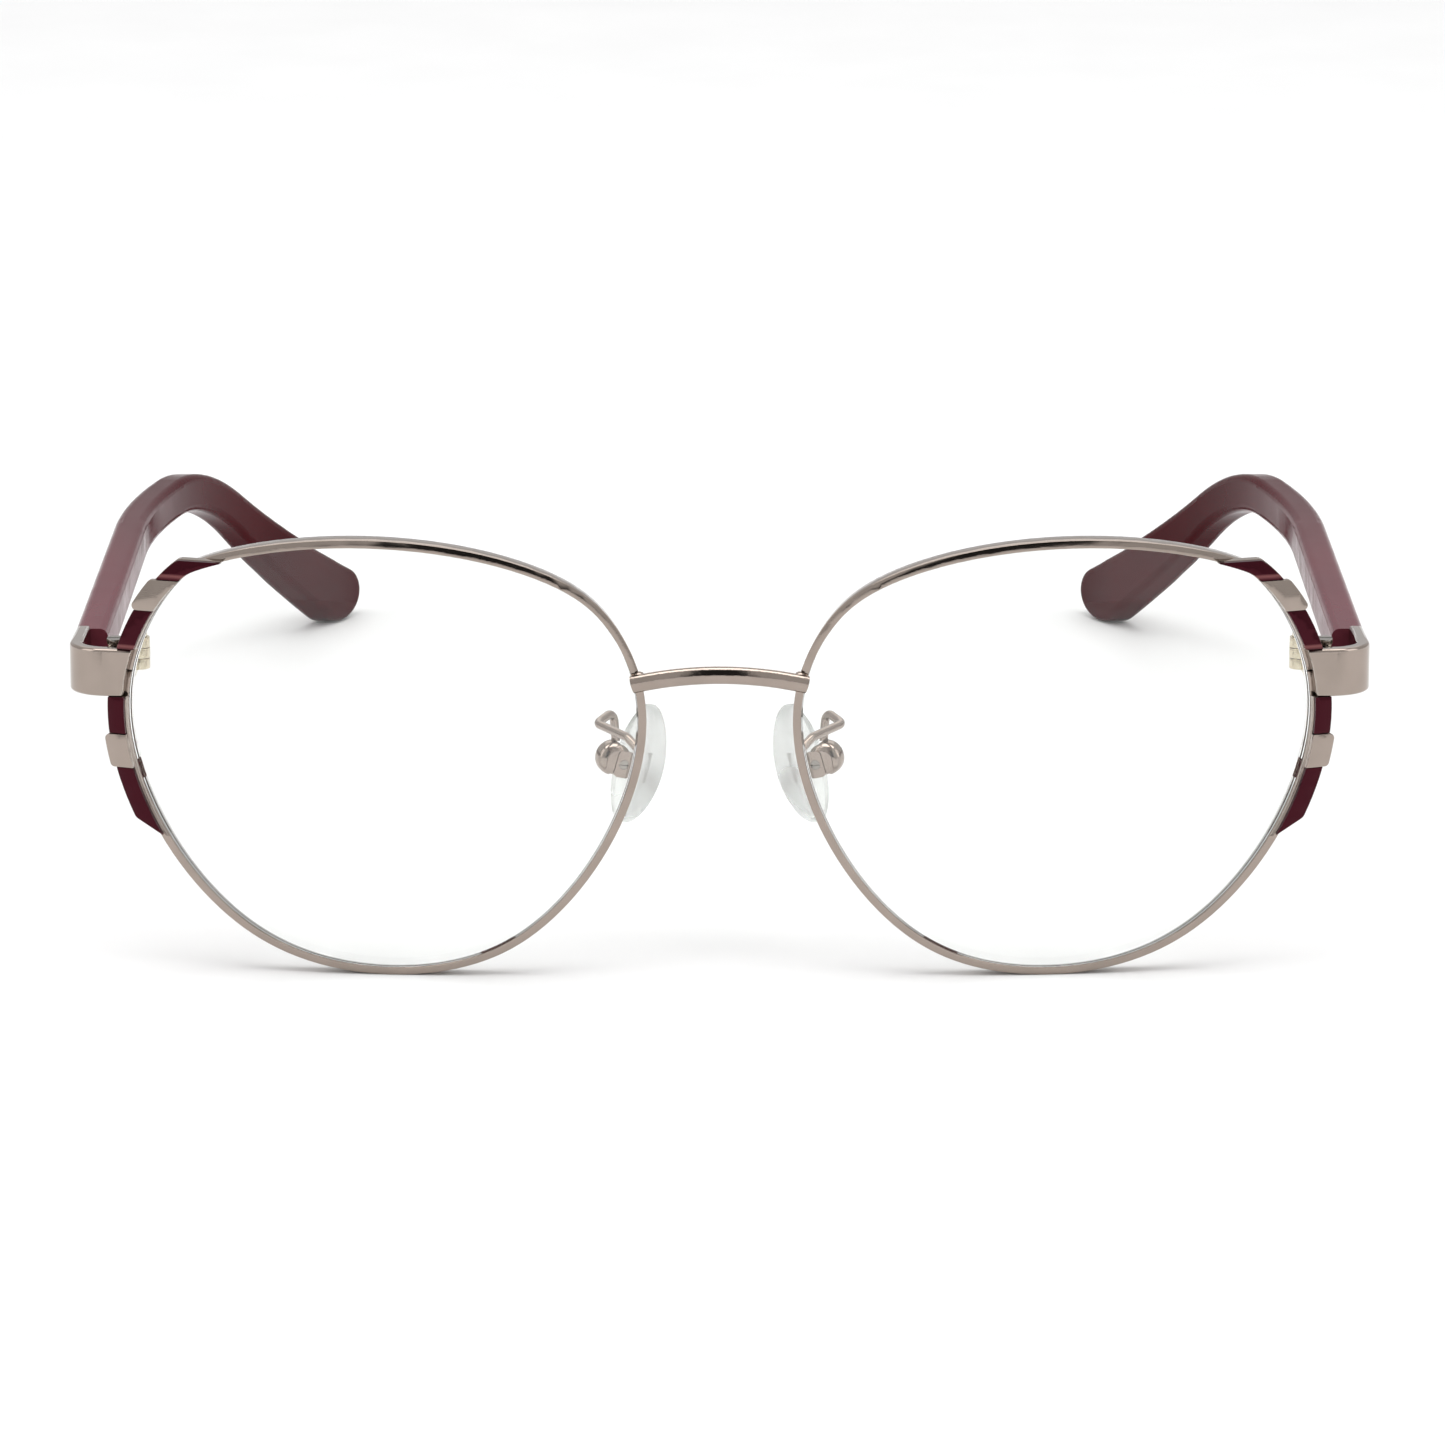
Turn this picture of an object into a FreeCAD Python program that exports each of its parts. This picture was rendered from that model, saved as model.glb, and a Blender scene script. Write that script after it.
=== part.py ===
import FreeCAD, Part
import math
import os

from FreeCAD import Placement, Rotation, Vector

# Metal-rimmed eyeglasses with acetate temples, standing open on a table.
# X is the wearer's left, Y runs back along the temples and Z is up, in millimetres.
# Every side piece is built once, on the wearer's left, and mirrored for the right.

os.makedirs("parts", exist_ok=True)
doc = FreeCAD.newDocument("eyeglasses")


# ---------------------------------------------------------------- driving dimensions

DIMENSIONS = [
    ("front_y", -71.1, "where the lenses' foremost plane stands, so that the box is centred"),
    ("outline_radius", 26.4, "mean reach of the eye shape from its centre to the rim's outside"),
    ("lens_centre_x", 35.7, "middle of the eye shape from the mirror plane"),
    ("lens_centre_z", 25.5, "middle of the eye shape above the table"),
    ("base_curve", 120.0, "radius of the sphere that the front follows"),
    ("base_centre_x", 28.0, "sphere's centre from the mirror plane"),
    ("rim_width", 0.85, "rim wall seen from the front"),
    ("rim_depth", 1.9, "rim from front to back"),
    ("slit_width", 0.15, "saw cut through the rim at its closing blocks"),
    ("lens_thickness", 1.5, "lens from front to back"),
    ("bevel_height", 0.35, "lens edge ridge, and so the depth of the rim's groove"),
    ("bevel_width", 0.6, "lens edge ridge from front to back"),
    ("fit_gap", 0.03, "gap between pieces that are fixed to each other"),
    ("overlay_depth", 1.45, "decorated plate from its front to the rim's front"),
    ("overlay_reach", 1.0, "decorated plate beyond the rim's outside"),
    ("accent_reach", 1.4, "raised metal block beyond the rim's outside"),
    ("enamel_depth", 0.5, "enamel inlay's thickness"),
    ("enamel_sink", 0.12, "enamel inlay below the raised metal blocks"),
    ("accent_rounding", 0.5, "raised metal block's outer corners"),
    ("plate_rounding", 0.9, "outer corners of the decorated plate's far ends"),
    ("plate_top_z", 45.75, "decorated plate's upper end above the table"),
    ("plate_end_x", 61.06, "outer end of the decorated plate's oblique lower edge"),
    ("plate_end_z", 16.69, "the same point above the table"),
    ("plate_end_turn", 32.0, "slope of that lower edge, down towards the nose"),
    ("field_gap", 0.05, "joint between an enamel field and the metal beside it"),
    ("enamel_inset", 0.06, "metal edge left bare beside the enamel"),
    ("lug_height", 5.15, "end piece from top to bottom"),
    ("lug_lift", 0.18, "end piece's middle above the hinge's"),
    ("lug_wall", 1.45, "end piece's wall"),
    ("lug_ledge", 0.5, "end piece over the rim's front, from the rim's outside"),
    ("lug_outer_x", 69.1, "end piece's outer face from the mirror plane"),
    ("lug_bend", 4.6, "outer radius of the end piece's bend"),
    ("lug_front_y", -13.4, "end piece's front face at the lens, from the hinge axis"),
    ("lug_slope", 10.0, "end piece's front face turning back towards the temple"),
    ("lug_rounding", 0.35, "end piece's long outer edges"),
    ("tilt_angle", 5.0, "slope of the temples and end pieces down towards the back"),
    ("hinge_x", 62.3, "hinge axis from the mirror plane"),
    ("hinge_back", 17.0, "hinge axis behind the lenses' foremost plane"),
    ("hinge_z", 31.93, "hinge centre above the table"),
    ("knuckle_radius", 1.2, "hinge barrel"),
    ("knuckle_height", 1.1, "each of the three hinge knuckles"),
    ("knuckle_gap", 0.06, "play between neighbouring knuckles"),
    ("hinge_pin_radius", 0.55, "hinge screw's shank"),
    ("running_gap", 0.05, "radial play of a turning fit"),
    ("front_leaf_thickness", 1.2, "hinge leaf on the end piece"),
    ("leaf_thickness", 0.7, "hinge leaf inside the temple"),
    ("leaf_height", 3.3, "hinge leaf plates from top to bottom"),
    ("leaf_sink", 0.4, "hinge leaf below the temple's inner face"),
    ("leaf_length", 8.4, "hinge leaf along the temple"),
    ("joint_gap", 0.2, "gap between end piece and open temple"),
    ("temple_thickness", 3.6, "temple from inside to outside"),
    ("temple_offset", 5.3, "temple's middle outside the hinge axis, at its front end"),
    ("temple_height", 4.8, "temple's height at its front end"),
    ("bend_height", 4.5, "temple's height through the ear bend"),
    ("tip_height", 7.1, "temple's height at its tip, and the tip's round end"),
    ("tip_back", 124.4, "centre of the tip's round end behind the hinge axis"),
    ("tip_drop", 17.55, "centre of the tip's round end below the hinge centre"),
    ("splay_angle", 0.8, "temples' outward heading at the hinges"),
    ("splay_length", 58.0, "straight stretch of the temple, seen from above"),
    ("inward_radius", 120.0, "radius of the temple's inward curve, seen from above"),
    ("ear_bend_middle", 84.5, "ear bend's centre behind the hinge axis"),
    ("ear_bend_top", 1.85, "ear bend's highest point above the hinge centre, on its middle line"),
    ("ear_bend_radius", 35.0, "radius of the ear bend"),
    ("temple_rounding", 0.9, "rounded edges of the temple"),
    ("core_thickness", 1.2, "wire core inside the temple"),
    ("core_height", 2.2, "wire core inside the temple, from top to bottom"),
    ("core_start", 12.0, "wire core's front end behind the hinge axis"),
    ("core_shortfall", 6.0, "wire core's end before the tip's round end"),
    ("bridge_height", 1.9, "bridge bar from top to bottom"),
    ("bridge_depth", 1.3, "bridge bar from front to back"),
    ("bridge_half", 9.2, "bridge bar's end from the mirror plane"),
    ("bridge_bead", 0.62, "solder bead above each end of the bridge bar"),
    ("bridge_end_z", 32.85, "bridge bar's ends above the table"),
    ("bridge_rise", 1.35, "bridge bar's arch"),
    ("bridge_bow", 1.0, "bridge bar's bow towards the front"),
    ("arm_radius", 0.47, "pad arm wire"),
    ("arm_bend", 1.1, "radius of the pad arm's bends"),
    ("arm_foot_radius", 0.52, "solder bead at the pad arm's foot"),
    ("pad_axis_x", 10.9, "pad screw from the mirror plane"),
    ("pad_axis_back", 13.0, "pad screw behind the lenses' foremost plane"),
    ("pad_axis_z", 20.9, "pad screw above the table"),
    ("pad_splay", 25.0, "pad's turn, opening towards the wearer"),
    ("pad_lean", 17.0, "pad's top leaning towards the nose"),
    ("pad_length", 13.2, "nose pad from top to bottom"),
    ("pad_width", 7.6, "nose pad from front to back"),
    ("pad_thickness", 3.0, "nose pad through its middle"),
    ("pad_offset", 2.7, "nose pad's middle from the pad screw"),
    ("button_radius", 1.9, "round back of the pad box"),
    ("button_thickness", 2.5, "round back of the pad box, along the pad screw"),
    ("button_rounding", 1.05, "rounded rims of the pad box's back"),
    ("button_back", 0.85, "round back's centre from the pad screw"),
    ("button_lift", 0.35, "round back's centre above the pad screw"),
    ("box_height", 2.9, "pad box's plates from top to bottom"),
    ("box_gap", 1.7, "space between the pad box's two plates"),
    ("box_plate", 0.5, "pad box's plates"),
    ("box_front", 1.0, "pad box's plates ahead of the pad screw, towards the nose"),
    ("box_back", 0.9, "pad box's plates behind the pad screw"),
    ("box_corner", 0.5, "rounded corners of the pad box's plates"),
    ("ear_radius", 0.85, "pad insert's round ear on the pad screw"),
    ("ear_play", 0.12, "play between that ear and each plate"),
    ("neck_height", 1.3, "pad insert's neck from top to bottom"),
    ("pad_screw_radius", 0.35, "pad screw's shank"),
    ("pad_screw_head", 0.5, "pad screw's head, sunk into the front plate"),
    ("pad_screw_sink", 0.3, "height of that head"),
]

sheet = doc.addObject("Spreadsheet::Sheet", "sizes")
for row, (alias, value, meaning) in enumerate(DIMENSIONS, start=1):
    sheet.set(f"A{row}", alias)
    sheet.set(f"B{row}", str(value))
    sheet.set(f"C{row}", meaning)
    sheet.setAlias(f"B{row}", alias)
doc.recompute()


def size(alias):
    """A driving dimension's value."""
    return float(getattr(sheet, alias))


# Normal directions, in degrees, that reach past the decorated plate's ends.
PLATE_TOP = 74.0
PLATE_BOTTOM = -34.0
LUG_MIDDLE = 11.3
# Heights above the table where the raised metal blocks begin and end.
UPPER_ACCENT = (40.2, 43.5)
LOWER_ACCENT = (22.97, 26.56)

# The eye shape's departure from a circle: order, cosine part and sine part in millimetres.
EYE_SHAPE = [(2, 1.7, 0.3), (3, -0.1, 1.3), (4, -0.4, -0.1), (5, 0.0, -0.1), (6, 0.2, 0.0)]
# The tighter corner under the plate's upper end: normal direction, spread and extra reach.
CORNER_AT = 63.0
CORNER_SPREAD = 12.5
CORNER_REACH = 0.6
FULL_TURN_POINTS = 90
FRONT_PLANE = -6.0
BACK_PLANE = 14.0


# ---------------------------------------------------------------- shape helpers

def outline_point(degrees, offset):
    """Front-view point of the eye shape with its normal at this angle, moved out by offset."""
    angle = math.radians(degrees)
    reach = size("outline_radius") + offset
    slope = 0.0
    for order, cosine, sine in EYE_SHAPE:
        reach += cosine * math.cos(order * angle) + sine * math.sin(order * angle)
        slope += order * (sine * math.cos(order * angle) - cosine * math.sin(order * angle))
    spread = math.radians(CORNER_SPREAD)
    away = math.radians((degrees - CORNER_AT + 180.0) % 360.0 - 180.0)
    corner = CORNER_REACH * math.exp(-away ** 2 / (2 * spread ** 2))
    reach += corner
    slope -= corner * away / spread ** 2
    x = size("lens_centre_x") + reach * math.cos(angle) - slope * math.sin(angle)
    z = size("lens_centre_z") + reach * math.sin(angle) + slope * math.cos(angle)
    return Vector(x, 0.0, z)


def sphere_sag(point):
    """How far the front's sphere lies behind its foremost plane at a front-view point."""
    radius = size("base_curve")
    across = point.x - size("base_centre_x")
    up = point.z - size("lens_centre_z")
    return radius - math.sqrt(radius ** 2 - across ** 2 - up ** 2)


def wall_point(degrees, offset, plane_y):
    """Outline point carried to a plane along walls that aim at the sphere's upright axis."""
    point = outline_point(degrees, offset)
    radius = size("base_curve")
    scale = (radius - plane_y) / (radius - sphere_sag(point))
    x = size("base_centre_x") + (point.x - size("base_centre_x")) * scale
    return Vector(x, plane_y, point.z)


def closed_outline(offset, plane_y):
    """The whole eye shape as a closed wire in one plane."""
    points = []
    for index in range(FULL_TURN_POINTS):
        points.append(wall_point(360.0 * index / FULL_TURN_POINTS, offset, plane_y))
    curve = Part.BSplineCurve()
    curve.interpolate(Points=points, PeriodicFlag=True)
    return Part.Wire([curve.toShape()])


def band_outline(start, end, inner, outer, plane_y):
    """A stretch of the eye shape between two offsets, as a closed wire in one plane."""
    count = max(5, int(abs(end - start) / 3.0) + 1)
    inner_points = []
    outer_points = []
    for index in range(count):
        degrees = start + (end - start) * index / (count - 1)
        inner_points.append(wall_point(degrees, inner, plane_y))
        outer_points.append(wall_point(degrees, outer, plane_y))
    inner_curve = Part.BSplineCurve()
    inner_curve.interpolate(inner_points)
    outer_curve = Part.BSplineCurve()
    outer_curve.interpolate(outer_points)
    edges = [
        inner_curve.toShape(),
        Part.makeLine(inner_points[-1], outer_points[-1]),
        outer_curve.toShape(),
        Part.makeLine(outer_points[0], inner_points[0]),
    ]
    return Part.Wire(edges)


def front_slab(front, back):
    """Slab between two depths behind the front's sphere."""
    radius = size("base_curve")
    centre = Vector(size("base_centre_x"), radius, size("lens_centre_z"))
    return Part.makeSphere(radius - front, centre).cut(Part.makeSphere(radius - back, centre))


def filled_outline(offset, front, back):
    """Everything inside the eye shape between two depths."""
    wires = [closed_outline(offset, FRONT_PLANE), closed_outline(offset, BACK_PLANE)]
    return Part.makeLoft(wires, True, True).common(front_slab(front, back))


def band(start, end, inner, outer, front, back):
    """A stretch of rim-shaped metal between two angles, two offsets and two depths."""
    wires = []
    for plane_y in (FRONT_PLANE, BACK_PLANE):
        wires.append(band_outline(start, end, inner, outer, plane_y))
    return Part.makeLoft(wires, True, True).common(front_slab(front, back))


def single_solid(shape):
    """The shape's largest solid, without slivers or wrapping compounds."""
    return max(shape.Solids, key=lambda solid: solid.Volume)


def add_feature(name, shape, placement=None):
    """A document object for a shape that needs curves the other objects can't hold."""
    feature = doc.addObject("Part::Feature", name)
    feature.Shape = single_solid(shape)
    feature.Placement = placement if placement else front_placement()
    feature.Label = name
    return feature


def front_placement():
    """Where the front's own coordinates sit in the finished part."""
    return Placement(Vector(0.0, size("front_y"), 0.0), Rotation())


def hinge_placement():
    """Origin on the hinge axis, Y along the temple and Z up the axis."""
    origin = Vector(size("hinge_x"), size("front_y") + size("hinge_back"), size("hinge_z"))
    return Placement(origin, Rotation(Vector(1, 0, 0), -size("tilt_angle")))


def pad_placement():
    """Origin on the pad screw, Y along the screw, X away from the nose, Z up the pad."""
    back = size("front_y") + size("pad_axis_back")
    origin = Vector(size("pad_axis_x"), back, size("pad_axis_z"))
    splay = Rotation(Vector(0, 0, 1), -size("pad_splay"))
    lean = Rotation(Vector(0, 1, 0), -size("pad_lean"))
    return Placement(origin, splay.multiply(lean))


def cylinder(name, radius, height, at, axis=Vector(0, 0, 1)):
    """A cylinder whose radius and height are expressions on the sheet."""
    item = doc.addObject("Part::Cylinder", name)
    item.setExpression("Radius", radius)
    item.setExpression("Height", height)
    item.Placement = Placement(at, Rotation(Vector(0, 0, 1), axis))
    return item


def block(name, length, width, height, at):
    """A box whose X, Y and Z sizes are expressions on the sheet."""
    item = doc.addObject("Part::Box", name)
    item.setExpression("Length", length)
    item.setExpression("Width", width)
    item.setExpression("Height", height)
    item.Placement = Placement(at, Rotation())
    return item


def fuse(name, items):
    """One solid from overlapping pieces."""
    joined = doc.addObject("Part::MultiFuse", name)
    joined.Shapes = items
    joined.Refine = True
    return joined


def cut(name, base, tool, placement=None):
    """A piece with a tool's space removed."""
    result = doc.addObject("Part::Cut", name)
    result.Base = base
    result.Tool = tool
    result.Refine = True
    if placement:
        result.Placement = placement
    return result


# ---------------------------------------------------------------- eyewire and lens

def make_rim():
    """Eyewire: a closed band with a groove for the lens and a saw cut at the closing blocks."""
    width = size("rim_width")
    depth = size("rim_depth")
    gap = size("fit_gap")
    middle = depth / 2
    groove_half = size("bevel_width") / 2 + gap
    rim = filled_outline(0.0, 0.0, depth).cut(filled_outline(-width, -1.0, depth + 1.0))
    groove = filled_outline(-width + size("bevel_height") + gap, middle - groove_half, middle + groove_half)
    slit_at = outline_point(LUG_MIDDLE, 0.0)
    slit = Part.makeBox(6.0, 16.0, size("slit_width"))
    slit.translate(Vector(slit_at.x - 3.0, -2.0, slit_at.z))
    return add_feature("rim_left", rim.cut(groove).cut(slit))


def make_lens():
    """Lens with the ridge around its edge that sits in the rim's groove."""
    width = size("rim_width")
    gap = size("fit_gap")
    middle = size("rim_depth") / 2
    half = size("lens_thickness") / 2
    bevel_half = size("bevel_width") / 2
    body = filled_outline(-width - gap, middle - half, middle + half)
    ridge = filled_outline(-width + size("bevel_height"), middle - bevel_half, middle + bevel_half)
    return add_feature("lens_left", body.fuse(ridge))


# ---------------------------------------------------------------- decorated plate on the rim

def lug_level_space():
    """The end piece's level, which the decorated plate above and below it stays out of."""
    tall = size("lug_height") + 2 * size("fit_gap")
    space = Part.makeBox(30.0, 30.0, tall)
    space.translate(Vector(-20.0, -22.0, size("lug_lift") - tall / 2))
    space.Placement = hinge_placement().multiply(space.Placement)
    space.Placement = front_placement().inverse().multiply(space.Placement)
    return space


def level_space(low, high):
    """Everything between two heights above the table."""
    reach = 60.0
    space = Part.makeBox(reach, reach, high - low)
    space.translate(Vector(size("lens_centre_x"), -reach / 2, low))
    return space


def below_plate_end(grow):
    """Everything beyond the decorated plate's oblique lower edge."""
    reach = 60.0
    space = Part.makeBox(2 * reach, reach, reach, Vector(-reach, -reach / 2, grow - reach))
    corner = Vector(size("plate_end_x"), 0.0, size("plate_end_z"))
    turn = Rotation(Vector(0, 1, 0), -size("plate_end_turn"))
    space.Placement = Placement(corner, turn).multiply(space.Placement)
    return space


def runs_back(edge):
    """Whether an edge runs mostly from front to back."""
    box = edge.BoundBox
    return box.YLength > 2.0 * max(box.XLength, box.ZLength)


def outer_corners(shape, levels):
    """At each height, the front-to-back edge that is farthest from the nose."""
    corners = []
    for level in levels:
        here = [
            edge for edge in shape.Edges
            if runs_back(edge) and abs(edge.CenterOfMass.z - level) < 0.8
        ]
        corners.append(max(here, key=lambda edge: edge.CenterOfMass.x))
    return corners


def plate_field(upper, inset, top, bottom):
    """The plate above or below the end piece, drawn in from its edges, between two depths."""
    inner = inset - size("rim_width")
    outer = size("overlay_reach") - inset
    if upper:
        shape = band(LUG_MIDDLE, PLATE_TOP, inner, outer, top, bottom)
        end_level = size("plate_top_z") - inset
        shape = shape.common(level_space(0.0, end_level))
    else:
        shape = band(PLATE_BOTTOM, LUG_MIDDLE, inner, outer, top, bottom)
        end_level = size("plate_end_z")
        shape = shape.cut(below_plate_end(inset))
    shape = single_solid(shape.cut(lug_level_space()))
    return shape.makeFillet(size("plate_rounding") - inset, outer_corners(shape, [end_level]))


def make_overlay(name, upper):
    """Metal plate brazed in front of the rim; the enamel and the raised block sit on it."""
    top = size("enamel_depth") + size("enamel_sink") - size("overlay_depth")
    return add_feature(name, plate_field(upper, 0.0, top, -size("fit_gap")))


def enamel_layer(upper):
    """The enamel of one plate before the raised block parts it in two."""
    top = size("enamel_sink") - size("overlay_depth")
    return plate_field(upper, size("enamel_inset"), top, top + size("enamel_depth") - size("fit_gap"))


def make_enamel(name, layer, low, high):
    """Enamel field on the plate, a little below the raised metal."""
    gap = size("field_gap")
    return add_feature(name, layer.common(level_space(low + gap, high - gap)))


def make_accent(name, levels):
    """Raised metal block between two enamel fields, with its outer side standing out."""
    top = -size("overlay_depth")
    bottom = top + size("enamel_sink") + size("enamel_depth") - size("fit_gap")
    shape = band(PLATE_BOTTOM, PLATE_TOP, -size("rim_width"), size("accent_reach"), top, bottom)
    shape = single_solid(shape.common(level_space(*levels)))
    return add_feature(name, shape.makeFillet(size("accent_rounding"), outer_corners(shape, levels)))


# ---------------------------------------------------------------- end piece and closing blocks

def closing_blocks_shape(grow):
    """Both closing blocks behind the end piece, before the saw cut parts them."""
    return band(
        LUG_MIDDLE - 4.5,
        LUG_MIDDLE + 4.5,
        size("fit_gap") - grow,
        2.3 + grow,
        0.35 - grow,
        3.6 + grow,
    )


def make_closing_block(name, keep_upper):
    """One of the two blocks that the rim screw pulls together around the lens."""
    slit_at = outline_point(LUG_MIDDLE, 0.0)
    tall = 10.0
    low = slit_at.z + size("slit_width") if keep_upper else slit_at.z - tall
    half_space = Part.makeBox(20.0, 30.0, tall)
    half_space.translate(Vector(slit_at.x - 10.0, -5.0, low))
    bore = Part.makeCylinder(0.5 + size("fit_gap"), 20.0, rim_screw_foot(), Vector(0, 0, 1))
    return add_feature(name, closing_blocks_shape(0.0).common(half_space).cut(bore))


def rim_screw_foot():
    """Lower end of the rim screw's axis, in front coordinates."""
    slit_at = outline_point(LUG_MIDDLE, 0.0)
    return Vector(slit_at.x + 1.05, sphere_sag(slit_at) + 2.75, slit_at.z - 2.1)


def lug_strap_plan(sketch):
    """Plan of the end piece: sloping front, round corner and a leg back to the hinge."""
    outer = size("lug_outer_x") - size("hinge_x")
    wall = size("lug_wall")
    bend = size("lug_bend")
    slope = math.radians(size("lug_slope"))
    start_x = -2.4
    start_y = size("lug_front_y")
    centre_x = outer - bend
    run = centre_x + bend * math.sin(slope) - start_x
    centre = Vector(centre_x, start_y + run * math.tan(slope) + bend * math.cos(slope), 0)
    leg_back = 0.1
    upward = Vector(0, 0, 1)

    def arc(radius):
        circle = Part.Circle(centre, upward, radius)
        return Part.ArcOfCircle(circle, slope - math.pi / 2, 0.0)

    def arc_start(radius):
        return centre + Vector(radius * math.sin(slope), -radius * math.cos(slope), 0)

    front_start = Vector(start_x, start_y, 0)
    back_start = front_start + Vector(-wall * math.sin(slope), wall * math.cos(slope), 0)
    sketch.addGeometry(
        [
            Part.LineSegment(front_start, arc_start(bend)),
            arc(bend),
            Part.LineSegment(Vector(outer, centre.y, 0), Vector(outer, leg_back, 0)),
            Part.LineSegment(Vector(outer, leg_back, 0), Vector(outer - wall, leg_back, 0)),
            Part.LineSegment(Vector(outer - wall, leg_back, 0), Vector(outer - wall, centre.y, 0)),
            arc(bend - wall),
            Part.LineSegment(arc_start(bend - wall), back_start),
            Part.LineSegment(back_start, front_start),
        ],
        False,
    )
    return centre


def make_lug():
    """End piece: a wide strap that follows the rim, turns the corner and runs to the hinge."""
    body = doc.addObject("PartDesign::Body", "lug_strap")
    sketch = body.newObject("Sketcher::SketchObject", "lug_plan")
    sketch.AttachmentSupport = [(origin_plane(body, "XY_Plane"), "")]
    sketch.MapMode = "FlatFace"
    centre = lug_strap_plan(sketch)
    pad = body.newObject("PartDesign::Pad", "lug_pad")
    pad.Profile = sketch
    pad.setExpression("Length", "sizes.lug_height")
    pad.Midplane = True
    body.Tip = pad
    doc.recompute()
    half = size("lug_height") / 2
    bend = size("lug_bend")
    outer_edges = []
    for edge in pad.Shape.Edges:
        middle = edge.valueAt((edge.FirstParameter + edge.LastParameter) / 2)
        level = abs(abs(middle.z) - half) < 0.01
        from_centre = math.hypot(middle.x - centre.x, middle.y - centre.y)
        if level and from_centre > bend - 0.01 and edge.Length > 2.0:
            outer_edges.append(edge)
    strap = pad.Shape.makeFillet(size("lug_rounding"), outer_edges)
    lift = Placement(Vector(0, 0, size("lug_lift")), Rotation())
    strap.Placement = front_placement().inverse().multiply(hinge_placement()).multiply(lift)
    rim_space = filled_outline(size("fit_gap"), -size("fit_gap"), 8.0)
    lens_space = filled_outline(-size("lug_ledge"), -4.0, 8.0)
    shape = strap.cut(rim_space).cut(lens_space).cut(closing_blocks_shape(size("fit_gap")))
    return add_feature("lug_left", shape)


def origin_plane(body, role):
    """One of a body's own origin planes."""
    return [item for item in body.Origin.OriginFeatures if item.Role == role][0]


# ---------------------------------------------------------------- screws

def make_screw(name, shank, head, shank_length, head_height, placement):
    """Slotted screw: its axis is its own Z, with the underside of the head at the origin."""
    shank_item = cylinder(name + "_shank", shank, shank_length + " + 0.2 mm", Vector(0, 0, 0))
    shank_item.setExpression("Placement.Base.z", "-(" + shank_length + ")")
    head_item = cylinder(name + "_head", head, head_height, Vector(0, 0, 0))
    slot = block(name + "_slot", "2 * " + head + " + 0.4 mm", "0.22 mm", "0.3 mm", Vector(0, 0, 0))
    slot.setExpression("Placement.Base.x", "-(" + head + ") - 0.2 mm")
    slot.setExpression("Placement.Base.y", "-0.11 mm")
    slot.setExpression("Placement.Base.z", head_height + " - 0.2 mm")
    screw = cut(name, fuse(name + "_turned", [shank_item, head_item]), slot, placement)
    screw.Label = name
    return screw


# ---------------------------------------------------------------- hinge

def knuckle(name, level):
    """One hinge knuckle: level is -1, 0 or 1 from the bottom up."""
    item = cylinder(name, "sizes.knuckle_radius", "sizes.knuckle_height", Vector(0, 0, 0))
    step = "(sizes.knuckle_height + sizes.knuckle_gap)"
    item.setExpression("Placement.Base.z", f"{level} * {step} - sizes.knuckle_height / 2")
    return item


def hinge_bore(name):
    """Space for the hinge screw, with running play."""
    radius = "sizes.hinge_pin_radius + sizes.running_gap"
    item = cylinder(name, radius, "10 mm", Vector(0, 0, -5))
    return item


def leaf_part(name, thickness, length, height, at_x, at_y):
    """One plate or arm of a hinge leaf, centred on the hinge's level."""
    item = block(name, thickness, length, height, Vector(0, 0, 0))
    item.setExpression("Placement.Base.x", at_x)
    item.setExpression("Placement.Base.y", at_y)
    item.setExpression("Placement.Base.z", "-(" + height + ") / 2")
    return item


def make_front_leaf():
    """Hinge half on the end piece: a plate behind the closing blocks and two knuckles."""
    thickness = "sizes.front_leaf_thickness"
    clear = "sizes.knuckle_radius + 0.4"
    height = "sizes.leaf_height"
    plate_y = "-6 - (" + clear + ")"
    parts = [leaf_part("front_plate", thickness, "6 mm", height, "0 mm", plate_y)]
    for level in (-1, 1):
        side = "low" if level < 0 else "high"
        parts.append(knuckle("front_knuckle_" + side, level))
        arm_y = "-(" + clear + ")"
        arm_height = "sizes.knuckle_height"
        arm = leaf_part("front_arm_" + side, thickness, clear, arm_height, "0 mm", arm_y)
        step = "(sizes.knuckle_height + sizes.knuckle_gap)"
        arm.setExpression("Placement.Base.z", f"{level} * {step} - sizes.knuckle_height / 2")
        parts.append(arm)
    blocks = doc.addObject("Part::Feature", "closing_space")
    blocks.Shape = closing_blocks_shape(size("fit_gap"))
    blocks.Placement = hinge_placement().inverse().multiply(front_placement())
    bored = cut("front_leaf_bored", fuse("front_leaf_blank", parts), hinge_bore("front_bore"))
    return cut("hinge_front_leaf_left", bored, blocks, hinge_placement())


def make_temple_leaf():
    """Hinge half on the temple: the middle knuckle, an arm and a plate inside the temple."""
    plate_x = "sizes.temple_offset - sizes.temple_thickness / 2 + sizes.leaf_sink"
    arm_height = "sizes.knuckle_height"
    arm = leaf_part("temple_arm", plate_x + " + 0.1", "0.75 mm", arm_height, "0 mm", "0.45 mm")
    thickness = "sizes.leaf_thickness"
    length = "sizes.leaf_length"
    height = "sizes.leaf_height"
    plate = leaf_part("temple_plate", thickness, length, height, plate_x, "0.6 mm")
    parts = [knuckle("temple_knuckle", 0), arm, plate]
    leaf = cut("hinge_temple_leaf_left", fuse("temple_leaf_blank", parts), hinge_bore("temple_bore"))
    leaf.Placement = hinge_placement()
    return leaf


# ---------------------------------------------------------------- temple

def circle_point(centre, radius, degrees):
    """Point on a circle in the YZ plane, measured down from its top towards the back."""
    angle = math.radians(degrees)
    return Vector(0, centre.y + radius * math.sin(angle), centre.z + radius * math.cos(angle))


def tangent_angle(point, centre, touch_reach):
    """Where, in degrees from its top, a line from a point in front touches a circle."""
    away = point - centre
    spread = math.degrees(math.acos(touch_reach / away.Length))
    return math.degrees(math.atan2(away.y, away.z)) + spread


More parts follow.
